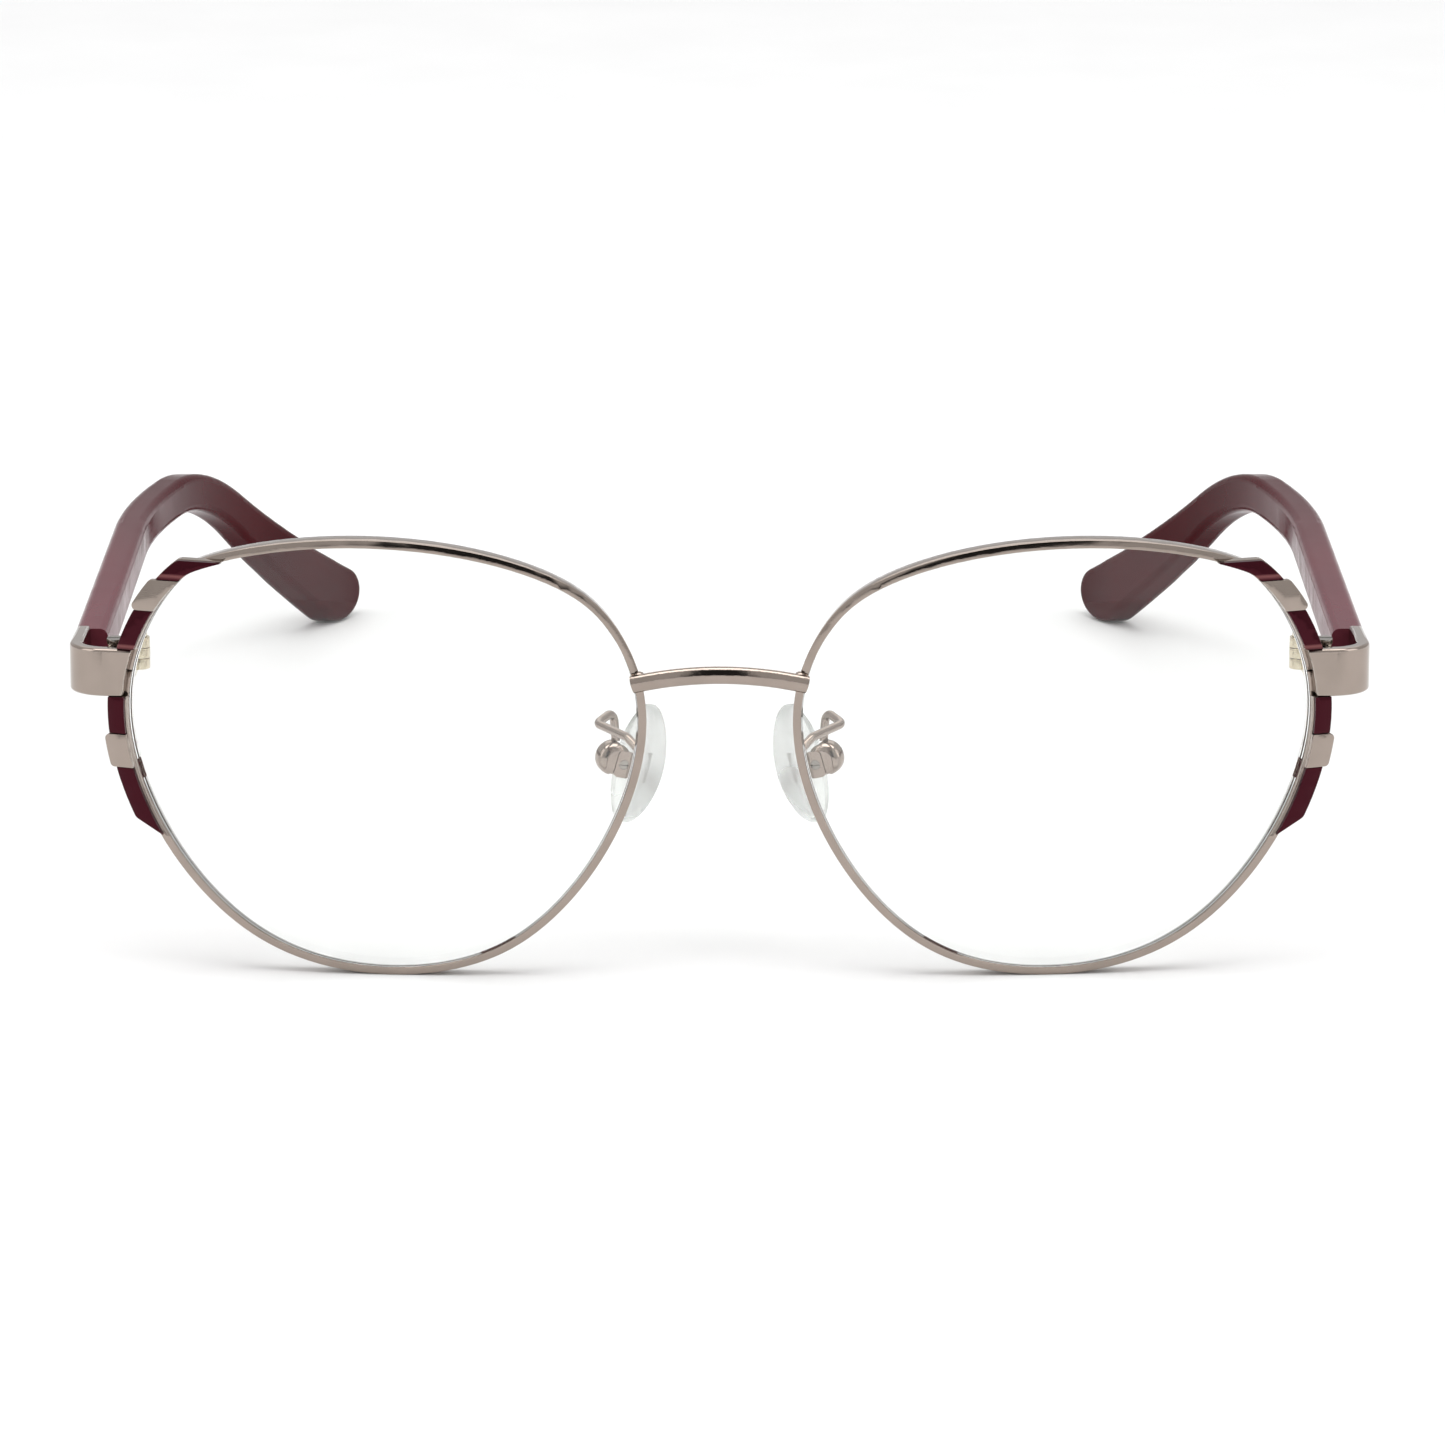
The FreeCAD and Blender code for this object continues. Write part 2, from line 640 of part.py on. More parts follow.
def leaving_angle(centre, end_centre, touch_reach):
    """Where, in degrees from its top, a line to the tip's round end leaves a circle."""
    away = end_centre - centre
    spread = math.degrees(math.acos(touch_reach / away.Length))
    return math.degrees(math.atan2(away.y, away.z)) - spread


def temple_side_face(start, shortfall, front_height, bend_height, end_height):
    """Side view: two long edges around the ear bend, running apart to a round tip."""
    radius = size("ear_bend_radius")
    centre = Vector(0, size("ear_bend_middle"), size("ear_bend_top") - radius)
    tip_centre = Vector(0, size("tip_back"), -size("tip_drop"))
    middle_down = leaving_angle(centre, tip_centre, radius)
    heading = circle_point(Vector(0, 0, 0), 1.0, middle_down + 90.0)
    end_centre = tip_centre - heading * shortfall
    end_radius = end_height / 2
    edges = []
    fronts = []
    ends = []
    for side in (1, -1):
        bend_radius = radius + side * bend_height / 2
        front = Vector(0, start, side * front_height / 2)
        touch = tangent_angle(front, centre, bend_radius)
        leave = leaving_angle(centre, end_centre, bend_radius - side * end_radius)
        begin = circle_point(centre, bend_radius, touch)
        middle = circle_point(centre, bend_radius, (touch + leave) / 2)
        finish = circle_point(centre, bend_radius, leave)
        end = circle_point(end_centre, side * end_radius, leave)
        edges.append([
            Part.makeLine(front, begin),
            Part.Arc(begin, middle, finish).toShape(),
            Part.makeLine(finish, end),
        ])
        fronts.append(front)
        ends.append(end)
    cap = Part.Arc(ends[0], end_centre + heading * end_radius, ends[1]).toShape()
    nose = Part.makeLine(fronts[1], fronts[0])
    return Part.Face(Part.Wire(edges[0] + [cap] + edges[1][::-1] + [nose]))


def temple_plan_face(start, thickness):
    """Plan: straight and slightly splayed, then curving inwards past the tip."""
    splay = math.radians(size("splay_angle"))
    straight = size("splay_length")
    along = Vector(math.sin(splay), math.cos(splay), 0)
    outward = Vector(math.cos(splay), -math.sin(splay), 0)
    origin = Vector(size("temple_offset"), 0, 0) + along * start
    turn = origin + along * (straight - start)
    centre = turn - outward * size("inward_radius")
    sweep = 50.0

    def on_arc(offset, degrees):
        angle = math.radians(degrees) - splay
        reach = size("inward_radius") + offset
        return centre + Vector(reach * math.cos(angle), reach * math.sin(angle), 0)

    outer = thickness / 2
    edges = [
        Part.makeLine(origin + outward * outer, turn + outward * outer),
        Part.Arc(on_arc(outer, 0), on_arc(outer, sweep / 2), on_arc(outer, sweep)).toShape(),
        Part.makeLine(on_arc(outer, sweep), on_arc(-outer, sweep)),
        Part.Arc(on_arc(-outer, sweep), on_arc(-outer, sweep / 2), on_arc(-outer, 0)).toShape(),
        Part.makeLine(turn - outward * outer, origin - outward * outer),
        Part.makeLine(origin - outward * outer, origin + outward * outer),
    ]
    return Part.Face(Part.Wire(edges))


def temple_bar(start, shortfall, thickness, heights):
    """Bar that follows the temple's line both from above and from the side."""
    side = temple_side_face(start, shortfall, *heights)
    plan = temple_plan_face(start, thickness)
    half_width = 70.0
    side.translate(Vector(-half_width, 0, 0))
    plan.translate(Vector(0, 0, -half_width))
    side_bar = side.extrude(Vector(2 * half_width, 0, 0))
    plan_bar = plan.extrude(Vector(0, 0, 2 * half_width))
    return single_solid(side_bar.common(plan_bar))


def make_core():
    """Flat wire that stiffens the temple from just behind the hinge into the tip."""
    heights = [size("core_height")] * 3
    shape = temple_bar(size("core_start"), size("core_shortfall"), size("core_thickness"), heights)
    return add_feature("temple_core_left", shape, hinge_placement())


def make_temple(metal_pieces):
    """Acetate temple with rounded edges and a rounded tip, moulded around its metal."""
    start = size("joint_gap") + 0.1
    heights = (size("temple_height"), size("bend_height"), size("tip_height"))
    bar = temple_bar(start, 0.0, size("temple_thickness"), heights)
    long_edges = []
    for edge in bar.Edges:
        middle = edge.valueAt((edge.FirstParameter + edge.LastParameter) / 2)
        if middle.y > start + 0.5:
            long_edges.append(edge)
    bar = bar.makeFillet(size("temple_rounding"), long_edges)
    for piece in metal_pieces:
        space = piece.Shape.copy()
        space.Placement = Placement()
        bar = bar.cut(space)
    return add_feature("temple_left", bar, hinge_placement())


# ---------------------------------------------------------------- bridge

def make_bridge():
    """Flat oval bar across the front of both rims, arched and bowed, with brazed ends."""
    half = size("bridge_half")
    end_z = size("bridge_end_z")
    end_at = Vector(half, 0.0, end_z)
    end_y = sphere_sag(end_at) - size("bridge_depth") / 2 + 0.25
    top_z = end_z + size("bridge_rise")
    top_y = end_y - size("bridge_bow")
    path_points = [
        Vector(-half, end_y, end_z),
        Vector(-half / 2, end_y - 0.75 * size("bridge_bow"), top_z - 0.25 * size("bridge_rise")),
        Vector(0.0, top_y, top_z),
        Vector(half / 2, end_y - 0.75 * size("bridge_bow"), top_z - 0.25 * size("bridge_rise")),
        Vector(half, end_y, end_z),
    ]
    path = Part.BSplineCurve()
    path.interpolate(path_points)
    spine = Part.Wire([path.toShape()])
    oval = Part.Ellipse(Vector(0, 0, 0), size("bridge_height") / 2, size("bridge_depth") / 2)
    profile = Part.Wire([oval.toShape()])
    heading = path.tangent(path.FirstParameter)[0]
    profile.Placement = Placement(path_points[0], bar_end_rotation(heading))
    bar = spine.makePipeShell([profile], True, True)
    for side in (-1, 1):
        bead_at = Vector(side * (half - 0.75), end_y + 0.35, end_z + 0.75)
        bead = Part.makeSphere(size("bridge_bead"), bead_at)
        bar = bar.fuse(bead)
    rim_space = filled_outline(size("fit_gap"), -size("fit_gap"), 6.0)
    mirrored = rim_space.mirror(Vector(0, 0, 0), Vector(1, 0, 0))
    return add_feature("bridge", bar.cut(rim_space).cut(mirrored))


def bar_end_rotation(heading):
    """Turn a profile so that its normal is the heading and its long way stays near upright."""
    forward = Vector(heading)
    forward.normalize()
    across = forward.cross(Vector(0, 0, 1))
    across.normalize()
    upright = across.cross(forward)
    return Rotation(upright, forward.cross(upright), forward, "ZXY")


# ---------------------------------------------------------------- nose pads

def bent_wire(points, radius, bend):
    """Round wire along straight stretches that are joined by round bends."""
    edges = []
    start = points[0]
    for before, corner, after in zip(points, points[1:], points[2:]):
        back = (before - corner).normalize()
        ahead = (after - corner).normalize()
        half = back.getAngle(ahead) / 2
        reach = bend / math.tan(half)
        touch_in = corner + back * reach
        touch_out = corner + ahead * reach
        middle = corner + (back + ahead).normalize() * (bend / math.sin(half) - bend)
        edges.append(Part.makeLine(start, touch_in))
        edges.append(Part.Arc(touch_in, middle, touch_out).toShape())
        start = touch_out
    edges.append(Part.makeLine(start, points[-1]))
    end_circle = Part.Circle(points[0], points[1] - points[0], radius)
    end_face = Part.Face(Part.Wire([end_circle.toShape()]))
    return Part.Wire(edges).makePipe(end_face)


def back_of_rim(degrees):
    """Point just behind the rim's back, halfway across its width, in front coordinates."""
    point = outline_point(degrees, -size("rim_width") / 2)
    radius = size("base_curve")
    across = point.x - size("base_centre_x")
    up = point.z - size("lens_centre_z")
    reach = math.sqrt((radius - size("rim_depth")) ** 2 - across ** 2 - up ** 2)
    return Vector(point.x, radius - reach + size("fit_gap"), point.z)


def make_pad_arm():
    """Gooseneck wire from the back of the rim, out and over, and down into the pad box."""
    root_at = back_of_rim(190.0)
    button_top = Vector(size("button_back"), 0.0, size("button_lift") + 0.7 * size("button_radius"))
    box_top = front_placement().inverse().multVec(pad_placement().multVec(button_top))
    points = [
        root_at,
        root_at + Vector(1.4, 1.8, 1.1),
        root_at + Vector(4.7, 6.4, 1.2),
        Vector(box_top.x + 0.25, box_top.y, root_at.z + 1.7),
        box_top,
    ]
    wire = bent_wire(points, size("arm_radius"), size("arm_bend"))
    inward = Vector(size("base_centre_x"), size("base_curve"), size("lens_centre_z")) - root_at
    foot_radius = size("arm_foot_radius")
    foot = Part.makeCone(foot_radius, 0.6 * foot_radius, foot_radius, root_at, inward)
    rim_side = Part.makeCylinder(4.0, 4.0, root_at, -inward)
    solid = wire.fuse(foot).cut(rim_side)
    box_space = pad_box_outside(size("fit_gap"))
    box_space.Placement = front_placement().inverse().multiply(pad_placement())
    return add_feature("pad_arm_left", solid.cut(box_space))


def pad_box_outside(grow):
    """Outer form of the pad box: a thick round button and the plates that grip the pad."""
    half = size("button_thickness") / 2 + grow
    centre = Vector(size("button_back"), -half, size("button_lift"))
    button = Part.makeCylinder(size("button_radius") + grow, 2 * half, centre, Vector(0, 1, 0))
    rims = [edge for edge in button.Edges if edge.BoundBox.YLength < 0.01]
    button = button.makeFillet(size("button_rounding"), rims)
    half_y = size("box_gap") / 2 + size("box_plate") + grow
    half_z = size("box_height") / 2 + grow
    front = size("box_front") + grow
    length = front + size("box_back") + grow
    plates = Part.makeBox(length, 2 * half_y, 2 * half_z, Vector(-front, -half_y, -half_z))
    corners = [edge for edge in plates.Edges if edge.BoundBox.YLength > half_y]
    return button.fuse(plates.makeFillet(size("box_corner"), corners))


def make_pad_box():
    """Clip that holds the nose pad: a round back, two plates and a hole for a sunk screw."""
    gap = size("box_gap")
    slot = Part.makeBox(3.5, gap, 6.0, Vector(-2.4, -gap / 2, -3.0))
    bore = pad_bore(size("pad_screw_radius") + 0.02)
    face = gap / 2 + size("box_plate")
    depth = size("pad_screw_sink") + size("fit_gap")
    head = size("pad_screw_head") + size("fit_gap")
    sunk = Part.makeCylinder(head, depth, Vector(0, -face, 0), Vector(0, 1, 0))
    shape = pad_box_outside(0.0).cut(slot).cut(bore).cut(sunk)
    return add_feature("pad_box_left", shape, pad_placement())


def pad_bore(radius):
    """Round hole along the pad screw."""
    return Part.makeCylinder(radius, 12.0, Vector(0, -6.0, 0), Vector(0, 1, 0))


def make_pad_insert():
    """Metal tab inside the box and the stiffening plate that the pad is moulded around."""
    turn = size("pad_screw_radius") + size("running_gap")
    tab_half = size("box_gap") / 2 - size("ear_play")
    ear = Part.makeCylinder(size("ear_radius"), 2 * tab_half, Vector(0, -tab_half, 0), Vector(0, 1, 0))
    height = size("neck_height")
    neck_corner = Vector(-size("pad_offset"), -tab_half, -height / 2)
    neck = Part.makeBox(size("pad_offset"), 2 * tab_half, height, neck_corner)
    plate = Part.makeBox(0.4, 2.2, 3.2, Vector(-size("pad_offset") - 0.2, -1.1, -1.6))
    shape = ear.fuse(neck).fuse(plate).cut(pad_bore(turn))
    return add_feature("pad_insert_left", shape, pad_placement())


def make_nose_pad(insert):
    """Soft oval pad, domed towards the nose, moulded around the metal insert."""
    half_thick = size("pad_thickness") / 2
    nose_radius = 17.0
    back_radius = 45.0
    oval = Part.Ellipse(Vector(0, 0, 0), size("pad_length") / 2, size("pad_width") / 2)
    face = Part.Face(Part.Wire([oval.toShape()]))
    face.Placement = Placement(Vector(-4, 0, 0), Rotation(Vector(0, 1, 0), -90.0))
    column = face.extrude(Vector(8, 0, 0))
    nose_ball = Part.makeSphere(nose_radius, Vector(nose_radius - half_thick, 0, 0), Vector(0, 1, 0))
    back_ball = Part.makeSphere(back_radius, Vector(half_thick - back_radius, 0, 0), Vector(0, 1, 0))
    pad = single_solid(column.common(nose_ball).common(back_ball))
    pad = pad.makeFillet(0.5, pad.Edges)
    pad.translate(Vector(-size("pad_offset") - 0.1, 0.3, 0))
    metal = insert.Shape.copy()
    metal.Placement = Placement()
    return add_feature("nose_pad_left", pad.cut(metal), pad_placement())


# ---------------------------------------------------------------- assembly

def upright_screw_placement(front_point):
    """Screw along front-coordinate Z, with its head's underside at a point."""
    return front_placement().multiply(Placement(front_point, Rotation()))


def make_left_side():
    """Every piece of the wearer's left side."""
    pieces = [make_rim(), make_lens(), make_lug()]
    middle_z = size("hinge_z")
    upper = enamel_layer(True)
    lower = enamel_layer(False)
    pieces.append(make_overlay("overlay_upper_left", True))
    pieces.append(make_overlay("overlay_lower_left", False))
    pieces.append(make_enamel("enamel_top_left", upper, UPPER_ACCENT[1], 2 * middle_z))
    pieces.append(make_accent("accent_upper_left", UPPER_ACCENT))
    pieces.append(make_enamel("enamel_upper_left", upper, middle_z, UPPER_ACCENT[0]))
    pieces.append(make_enamel("enamel_lower_left", lower, LOWER_ACCENT[1], middle_z))
    pieces.append(make_accent("accent_lower_left", LOWER_ACCENT))
    pieces.append(make_enamel("enamel_bottom_left", lower, 0.0, LOWER_ACCENT[0]))
    pieces.append(make_closing_block("closing_block_upper_left", True))
    pieces.append(make_closing_block("closing_block_lower_left", False))
    screw_top = rim_screw_foot() + Vector(0, 0, 4.4)
    rim_screw_at = upright_screw_placement(screw_top)
    pieces.append(make_screw("rim_screw_left", "0.5 mm", "0.9 mm", "4 mm", "0.55 mm", rim_screw_at))
    temple_leaf = make_temple_leaf()
    pieces += [make_front_leaf(), temple_leaf]
    hinge_screw_at = hinge_placement().multiply(Placement(Vector(0, 0, 1.75), Rotation()))
    shank = "sizes.hinge_pin_radius"
    pieces.append(make_screw("hinge_screw_left", shank, "0.95 mm", "3.4 mm", "0.4 mm", hinge_screw_at))
    core = make_core()
    doc.recompute()
    pieces += [core, make_temple([core, temple_leaf])]
    insert = make_pad_insert()
    pieces += [make_pad_arm(), make_pad_box(), insert, make_nose_pad(insert)]
    head_forward = Rotation(Vector(1, 0, 0), 90.0)
    seat = size("pad_screw_sink") - size("box_gap") / 2 - size("box_plate")
    pad_screw_at = pad_placement().multiply(Placement(Vector(0, seat, 0), head_forward))
    shank = "sizes.pad_screw_radius"
    head = "sizes.pad_screw_head * 1 mm"
    sink = "sizes.pad_screw_sink * 1 mm"
    pieces.append(make_screw("pad_screw_left", shank, head, "2.4 mm", sink, pad_screw_at))
    return pieces


def mirror_piece(piece):
    """The wearer's right copy of a left piece."""
    mirrored = doc.addObject("Part::Mirroring", piece.Label.replace("_left", "_right"))
    mirrored.Source = piece
    mirrored.Base = Vector(0, 0, 0)
    mirrored.Normal = Vector(1, 0, 0)
    mirrored.Label = piece.Label.replace("_left", "_right")
    return mirrored


left_pieces = make_left_side()
doc.recompute()
right_pieces = [mirror_piece(piece) for piece in left_pieces]
pieces = [make_bridge()] + left_pieces + right_pieces
doc.recompute()

for item in doc.Objects:
    if "Invalid" in item.State or "Error" in item.State:
        raise RuntimeError("object did not build: " + item.Name)
for piece in pieces:
    if piece.Shape.isNull() or not piece.Shape.isValid() or len(piece.Shape.Solids) != 1:
        raise RuntimeError("piece is not one sound solid: " + piece.Label)
    piece.Shape.exportStep(f"parts/{piece.Label}.step")
print("wrote", len(pieces), "pieces")
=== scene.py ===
"""Looks for the metal-rimmed eyeglasses: materials, edge rounding, floor, light and camera."""

import math

import bpy
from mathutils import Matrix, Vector

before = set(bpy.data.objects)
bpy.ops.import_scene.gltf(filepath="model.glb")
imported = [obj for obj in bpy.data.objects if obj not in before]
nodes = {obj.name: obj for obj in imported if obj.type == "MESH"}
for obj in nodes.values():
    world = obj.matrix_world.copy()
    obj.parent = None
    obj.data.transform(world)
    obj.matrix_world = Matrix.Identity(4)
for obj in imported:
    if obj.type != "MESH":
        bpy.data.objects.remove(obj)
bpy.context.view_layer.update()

MM = 0.001

# Most of a noise's values fall between these two.
NOISE_LOW, NOISE_HIGH = 0.3, 0.7

# Sockets of a colour Mix node, which share their names with its number and vector ones.
MIX_SHARE, MIX_FIRST, MIX_SECOND, MIX_RESULT = 0, 6, 7, 2

# Heights where the enamel pools against the metal below it, and how far above each of them
# the paler band of painted highlight, the reflection in the curved pool, comes in and goes out again.
PAINTED_HIGHLIGHT_LEVELS = (0.0435, 0.0357)
PAINTED_HIGHLIGHT_COMES_IN = (0.15 * MM, 0.45 * MM)
PAINTED_HIGHLIGHT_GOES_OUT = (0.55 * MM, 0.75 * MM)

# Stretch along Y, from front to back, in which the acetate's painted sheen, greyer in front, fades to
# its own deeper colour.
ACETATE_SHEEN_FADE = (-0.05, 0.04)


# ---------------------------------------------------------------- material helpers

def linear(red, green, blue):
    """Screen colour, 0 to 255, as the linear colour that shaders take."""
    channels = []
    for value in (red, green, blue):
        share = value / 255
        channels.append(share / 12.92 if share <= 0.04045 else ((share + 0.055) / 1.055) ** 2.4)
    return (*channels, 1.0)


def map_range(tree, value, low, high, to_low, to_high, interpolation="LINEAR"):
    """The value, moved from the range low to high into the range to_low to to_high."""
    made = tree.nodes.new("ShaderNodeMapRange")
    made.interpolation_type = interpolation
    limits = (("From Min", low), ("From Max", high), ("To Min", to_low), ("To Max", to_high))
    for key, number in limits:
        made.inputs[key].default_value = number
    tree.links.new(value, made.inputs["Value"])
    return made.outputs["Result"]


def maths(tree, operation, *values):
    """Result of a Math node."""
    made = tree.nodes.new("ShaderNodeMath")
    made.operation = operation
    for value, socket in zip(values, made.inputs):
        tree.links.new(value, socket)
    return made.outputs["Value"]


class Paint:
    """A Principled material and short calls for its nodes."""

    def __init__(self, name):
        self.material = bpy.data.materials.new(name)
        self.material.use_nodes = True
        self.tree = self.material.node_tree
        self.shader = self.tree.nodes["Principled BSDF"]
        self.where = self.node("ShaderNodeTexCoord").outputs["Object"]

    def node(self, kind, **settings):
        """New node with the given settings."""
        made = self.tree.nodes.new(kind)
        for key, value in settings.items():
            setattr(made, key, value)
        return made

    def link(self, source, target):
        """Join an output to an input."""
        self.tree.links.new(source, target)

    def set(self, **values):
        """Constants on the shader's own sockets."""
        for key, value in values.items():
            self.shader.inputs[key.replace("_", " ")].default_value = value

    def vary(self, socket, source):
        """Let an output set one of the shader's sockets."""
        self.link(source, self.shader.inputs[socket])

    def position(self, axis):
        """Place along the X, Y or Z axis."""
        axes = self.node("ShaderNodeSeparateXYZ")
        self.link(self.where, axes.inputs["Vector"])
        return axes.outputs[axis]

    def stretched(self, x, y, z):
        """Object coordinates with their own scale along each axis."""
        mapping = self.node("ShaderNodeMapping")
        mapping.inputs["Scale"].default_value = (x, y, z)
        self.link(self.where, mapping.inputs["Vector"])
        return mapping.outputs["Vector"]

    def noise(self, scale, detail, where=None):
        """Soft random pattern, 0 to 1."""
        made = self.node("ShaderNodeTexNoise")
        made.inputs["Scale"].default_value = scale
        made.inputs["Detail"].default_value = detail
        self.link(where or self.where, made.inputs["Vector"])
        return made.outputs["Fac"]

    def spread(self, noise, low, high):
        """Number that wanders from low to high with the noise."""
        return map_range(self.tree, noise, NOISE_LOW, NOISE_HIGH, low, high)

    def shades(self, noise, first, second):
        """Colour that wanders from first to second with the noise."""
        made = self.node("ShaderNodeValToRGB")
        stops = ((NOISE_LOW, first), (NOISE_HIGH, second))
        for element, (place, colour) in zip(made.color_ramp.elements, stops):
            element.position = place
            element.color = colour
        self.link(noise, made.inputs["Fac"])
        return made.outputs["Color"]

    def blend(self, share, first, second):
        """First colour where the share is 0, second where it is 1."""
        made = self.node("ShaderNodeMix", data_type="RGBA")
        self.link(share, made.inputs[MIX_SHARE])
        self.link(first, made.inputs[MIX_FIRST])
        if isinstance(second, tuple):
            made.inputs[MIX_SECOND].default_value = second
        else:
            self.link(second, made.inputs[MIX_SECOND])
        return made.outputs[MIX_RESULT]

    def bump(self, height, strength, distance):
        """Fine relief on the surface."""
        made = self.node("ShaderNodeBump")
        made.inputs["Strength"].default_value = strength
        made.inputs["Distance"].default_value = distance
        self.link(height, made.inputs["Height"])
        self.vary("Normal", made.outputs["Normal"])


# ---------------------------------------------------------------- materials

def polished_metal(name, dark, light, smooth, rough, grain):
    """Plated metal: faint clouding of the plating, hairline polish marks and soft unevenness."""
    paint = Paint(name)
    paint.set(Metallic=1.0)
    cloud = paint.noise(260.0, 4.0)
    paint.vary("Base Color", paint.shades(cloud, dark, light))
    hairs = paint.noise(1.0, 2.0, paint.stretched(900.0, 900.0, 9000.0))
    paint.vary("Roughness", paint.spread(hairs, smooth, rough))
    paint.bump(hairs, grain, 0.02 * MM)
    return paint.material


def burgundy_enamel(name):
    """Deep glossy enamel, with a painted highlight: a paler band where it pools against the metal at
    two fields' lower ends.
    """
    paint = Paint(name)
    colour = paint.shades(paint.noise(420.0, 3.0), linear(27, 2, 6), linear(33, 4, 9))
    height = paint.position("Z")
    # Painted highlight: a paler band just above each level stands in for the top softbox's reflection
    # in the curved enamel there.
    for level in PAINTED_HIGHLIGHT_LEVELS:
        comes_in = (level + step for step in PAINTED_HIGHLIGHT_COMES_IN)
        goes_out = (level + step for step in PAINTED_HIGHLIGHT_GOES_OUT)
        above = map_range(paint.tree, height, *comes_in, 0.0, 1.0)
        below = map_range(paint.tree, height, *goes_out, 1.0, 0.0)
        colour = paint.blend(maths(paint.tree, "MULTIPLY", above, below), colour, linear(112, 74, 72))
    paint.vary("Base Color", colour)
    peel = paint.noise(700.0, 2.0)
    paint.vary("Roughness", paint.spread(peel, 0.05, 0.11))
    paint.bump(peel, 0.12, 0.04 * MM)
    paint.set(IOR=1.5, Specular_IOR_Level=0.5, Specular_Tint=(1.0, 0.22, 0.32, 1.0))
    return paint.material


def burgundy_acetate(name):
    """Tumbled burgundy acetate, greyer in front with painted sheen and deeper towards the tips."""
    paint = Paint(name)
    drift = paint.noise(1.0, 3.0, paint.stretched(160.0, 28.0, 90.0))
    # The greyer front shades are painted sheen, standing in for the grazing reflection on the
    # temple's top face; the back shades are the acetate's own colour.
    front = paint.shades(drift, linear(94, 42, 52), linear(106, 48, 58))
    back = paint.shades(drift, linear(56, 3, 9), linear(66, 5, 13))
    along = map_range(paint.tree, paint.position("Y"), *ACETATE_SHEEN_FADE, 0.0, 1.0)
    paint.vary("Base Color", paint.blend(along, front, back))
    tumble = paint.noise(350.0, 3.0)
    paint.vary("Roughness", paint.spread(tumble, 0.14, 0.22))
    paint.bump(tumble, 0.08, 0.06 * MM)
    paint.set(IOR=1.5, Specular_IOR_Level=0.04, Specular_Tint=(1.0, 0.8, 0.84, 1.0))
    return paint.material


def see_through(name, colour, smooth, rough, index, lamp_tint, ripple, clarity):
    """Clear material that lets lamps through, so that it casts only a light shadow."""
    paint = Paint(name)
    paint.set(Transmission_Weight=clarity, IOR=index)
    tone = paint.noise(90.0, 2.0)
    darker = tuple(0.985 * channel for channel in colour[:3]) + (1.0,)
    paint.vary("Base Color", paint.shades(tone, darker, colour))
    paint.vary("Roughness", paint.spread(tone, smooth, rough))
    if ripple:
        paint.bump(tone, ripple, 0.2 * MM)
    lamp = paint.node("ShaderNodeBsdfTransparent")
    lamp.inputs["Color"].default_value = lamp_tint
    path = paint.node("ShaderNodeLightPath")
    mix = paint.node("ShaderNodeMixShader")
    share, for_eyes, for_lamps = mix.inputs
    paint.link(path.outputs["Is Shadow Ray"], share)
    paint.link(paint.shader.outputs["BSDF"], for_eyes)
    paint.link(lamp.outputs["BSDF"], for_lamps)
    paint.link(mix.outputs["Shader"], paint.tree.nodes["Material Output"].inputs["Surface"])
    return paint.material


# Each metal's darker and lighter tone, its lowest and highest roughness, and its grain.
METALS = {
    "polished_nickel": (linear(157, 145, 136), linear(165, 152, 143), 0.07, 0.12, 0.2),
    "spring_wire": (linear(146, 133, 126), linear(158, 145, 137), 0.08, 0.14, 0.25),
    "screw_steel": (linear(146, 142, 136), linear(160, 155, 149), 0.12, 0.22, 0.3),
    "hinge_metal": (linear(206, 194, 170), linear(216, 205, 182), 0.16, 0.26, 0.3),
}

LOOKS = {slot: polished_metal(slot + "_looks", *metal) for slot, metal in METALS.items()}
LOOKS["burgundy_enamel"] = burgundy_enamel("burgundy_enamel_looks")
LOOKS["burgundy_acetate"] = burgundy_acetate("burgundy_acetate_looks")
LOOKS["clear_lens"] = see_through(
    "clear_lens_looks", colour=(0.99, 1.0, 0.99, 1.0), smooth=0.0, rough=0.004, index=1.5,
    lamp_tint=(0.93, 0.94, 0.93, 1.0), ripple=0.0, clarity=1.0,
)
LOOKS["clear_silicone"] = see_through(
    "clear_silicone_looks", colour=(0.9, 0.915, 0.9, 1.0), smooth=0.2, rough=0.3, index=1.3,
    lamp_tint=(0.9, 0.92, 0.9, 1.0), ripple=0.2, clarity=0.75,
)


def paint_pieces():
    """Each slot gets the looks of its name, and the hinge leaves and screws get pale metal."""
    for name, piece in nodes.items():
        of_hinge = "leaf" in name or name.startswith("hinge_screw")
        for slot in piece.material_slots:
            slot.material = LOOKS["hinge_metal" if of_hinge else slot.material.name.split(".")[0]]


# ---------------------------------------------------------------- rounded edges

# How a piece's name starts, and the width of its rounding in millimetres.
EDGE_ROUNDING = {
    "rim": 0.1, "overlay": 0.1, "enamel": 0.08, "accent": 0.14, "lug": 0.1, "closing_block": 0.15,
    "hinge": 0.1, "pad_box": 0.1, "pad_arm": 0.08,
}
ROUNDING_SEGMENTS = 3
HARD_EDGE_ANGLE = math.radians(40)
WELD_DISTANCE = 0.002 * MM


def round_edges(piece, width):
    """Small rounding on a CAD piece's hard edges, so that they catch the light."""
    weld = piece.modifiers.new("weld", "WELD")
    weld.merge_threshold = WELD_DISTANCE
    bevel = piece.modifiers.new("rounding", "BEVEL")
    bevel.width = width * MM
    bevel.segments = ROUNDING_SEGMENTS
    bevel.limit_method = "ANGLE"
    bevel.angle_limit = HARD_EDGE_ANGLE
    bevel.harden_normals = True


def round_pieces():
    """Round every piece that EDGE_ROUNDING lists."""
    for name, piece in nodes.items():
        for start, width in EDGE_ROUNDING.items():
            if name.startswith(start):
                round_edges(piece, width)


# ---------------------------------------------------------------- floor, light and camera

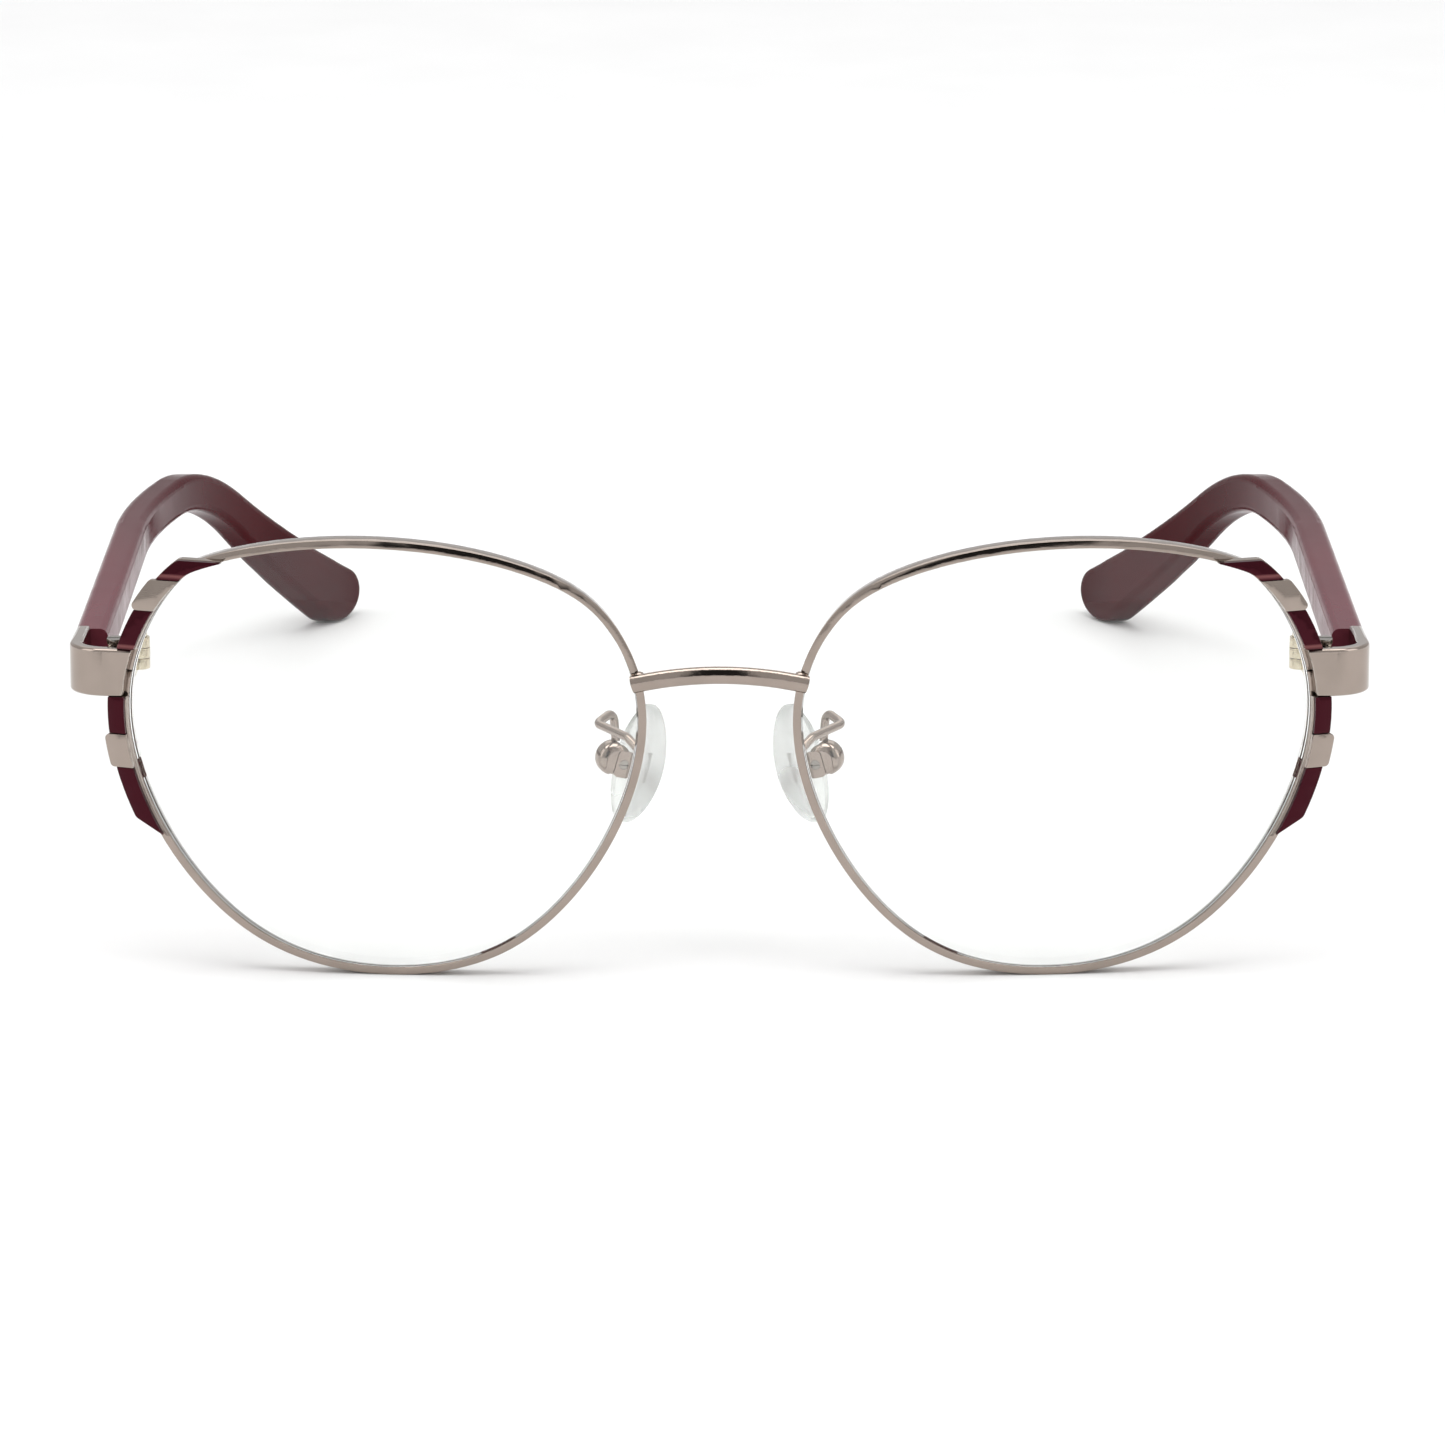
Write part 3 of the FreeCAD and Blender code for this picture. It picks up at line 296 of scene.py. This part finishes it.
# Brightness of the surroundings, and the dark stretch in them behind the camera: how far
# sideways and forward it is fully dark, and where it has faded away, for directions of length 1.
BRIGHT, DARK = 0.7, 0.03
DARK_SIDEWAYS = (0.12, 0.3)
DARK_FORWARD = (-0.6, -0.4)

CAMERA_TARGET = Vector((0.0003, -0.0711, 0.0291))
CAMERA_DISTANCE = 0.700
CAMERA_ELEVATION = math.radians(17.0)
SENSOR_WIDTH, FOCAL_LENGTH = 36.0, 165.7


def add_to_scene(name, data):
    """New object in the scene's own collection."""
    made = bpy.data.objects.new(name, data)
    bpy.context.scene.collection.objects.link(made)
    return made


def aim(thing, target):
    """Turn a lamp or the camera towards a point."""
    thing.rotation_euler = (target - thing.location).to_track_quat("-Z", "Y").to_euler()


def make_floor():
    """Plain pale floor."""
    half = 4.0
    mesh = bpy.data.meshes.new("floor")
    corners = [(-half, -half, 0), (half, -half, 0), (half, half, 0), (-half, half, 0)]
    mesh.from_pydata(corners, [], [(0, 1, 2, 3)])
    floor = add_to_scene("floor", mesh)
    paint = Paint("pale_floor")
    tone = paint.noise(40.0, 3.0)
    paint.vary("Base Color", paint.shades(tone, (0.86, 0.86, 0.86, 1.0), (0.88, 0.88, 0.88, 1.0)))
    paint.set(Roughness=0.9, Specular_IOR_Level=0.1)
    mesh.materials.append(paint.material)


def area_light(name, size_x, size_y, power, at, towards):
    """Rectangular soft light aimed at a point."""
    data = bpy.data.lights.new(name, "AREA")
    data.shape = "RECTANGLE"
    data.size = size_x
    data.size_y = size_y
    data.energy = power
    light = add_to_scene(name, data)
    light.location = at
    aim(light, Vector(towards))


def make_world():
    """Bright white all round, with a soft dark stretch behind the camera for contrast."""
    world = bpy.data.worlds.new("studio")
    bpy.context.scene.world = world
    world.use_nodes = True
    tree = world.node_tree

    def smooth(value, *limits):
        return map_range(tree, value, *limits, interpolation="SMOOTHSTEP")

    direction = tree.nodes.new("ShaderNodeTexCoord").outputs["Generated"]
    axes = tree.nodes.new("ShaderNodeSeparateXYZ")
    tree.links.new(direction, axes.inputs["Vector"])
    narrow = smooth(maths(tree, "ABSOLUTE", axes.outputs["X"]), *DARK_SIDEWAYS, 1.0, 0.0)
    forward = smooth(axes.outputs["Y"], *DARK_FORWARD, 1.0, 0.0)
    strength = smooth(maths(tree, "MULTIPLY", narrow, forward), 0.0, 1.0, BRIGHT, DARK)
    background = tree.nodes["Background"]
    background.inputs["Color"].default_value = (1.0, 1.0, 1.0, 1.0)
    tree.links.new(strength, background.inputs["Strength"])


def make_light():
    """One long strip softbox overhead, one softbox each side and one for the floor behind."""
    area_light("softbox_top", 1.2, 0.5, 5.5, (0.0, -0.15, 0.9), (0, 0, 0))
    area_light("softbox_far", 2.0, 2.0, 9.0, (0.0, 2.0, 1.3), (0, 2.0, 0))
    area_light("softbox_left", 0.5, 0.7, 1.5, (0.8, -0.3, 0.4), (0, 0, 0.02))
    area_light("softbox_right", 0.5, 0.7, 1.5, (-0.8, -0.3, 0.4), (0, 0, 0.02))


def make_camera():
    """Camera in front and a little above, with a long lens."""
    data = bpy.data.cameras.new("camera")
    data.sensor_width = SENSOR_WIDTH
    data.lens = FOCAL_LENGTH
    data.clip_start = 0.01
    data.clip_end = 20.0
    camera = add_to_scene("camera", data)
    backwards = Vector((0, -math.cos(CAMERA_ELEVATION), math.sin(CAMERA_ELEVATION)))
    camera.location = CAMERA_TARGET + backwards * CAMERA_DISTANCE
    aim(camera, CAMERA_TARGET)
    bpy.context.scene.camera = camera


paint_pieces()
round_pieces()
make_floor()
make_world()
make_light()
make_camera()
bpy.context.scene.view_settings.view_transform = "Standard"
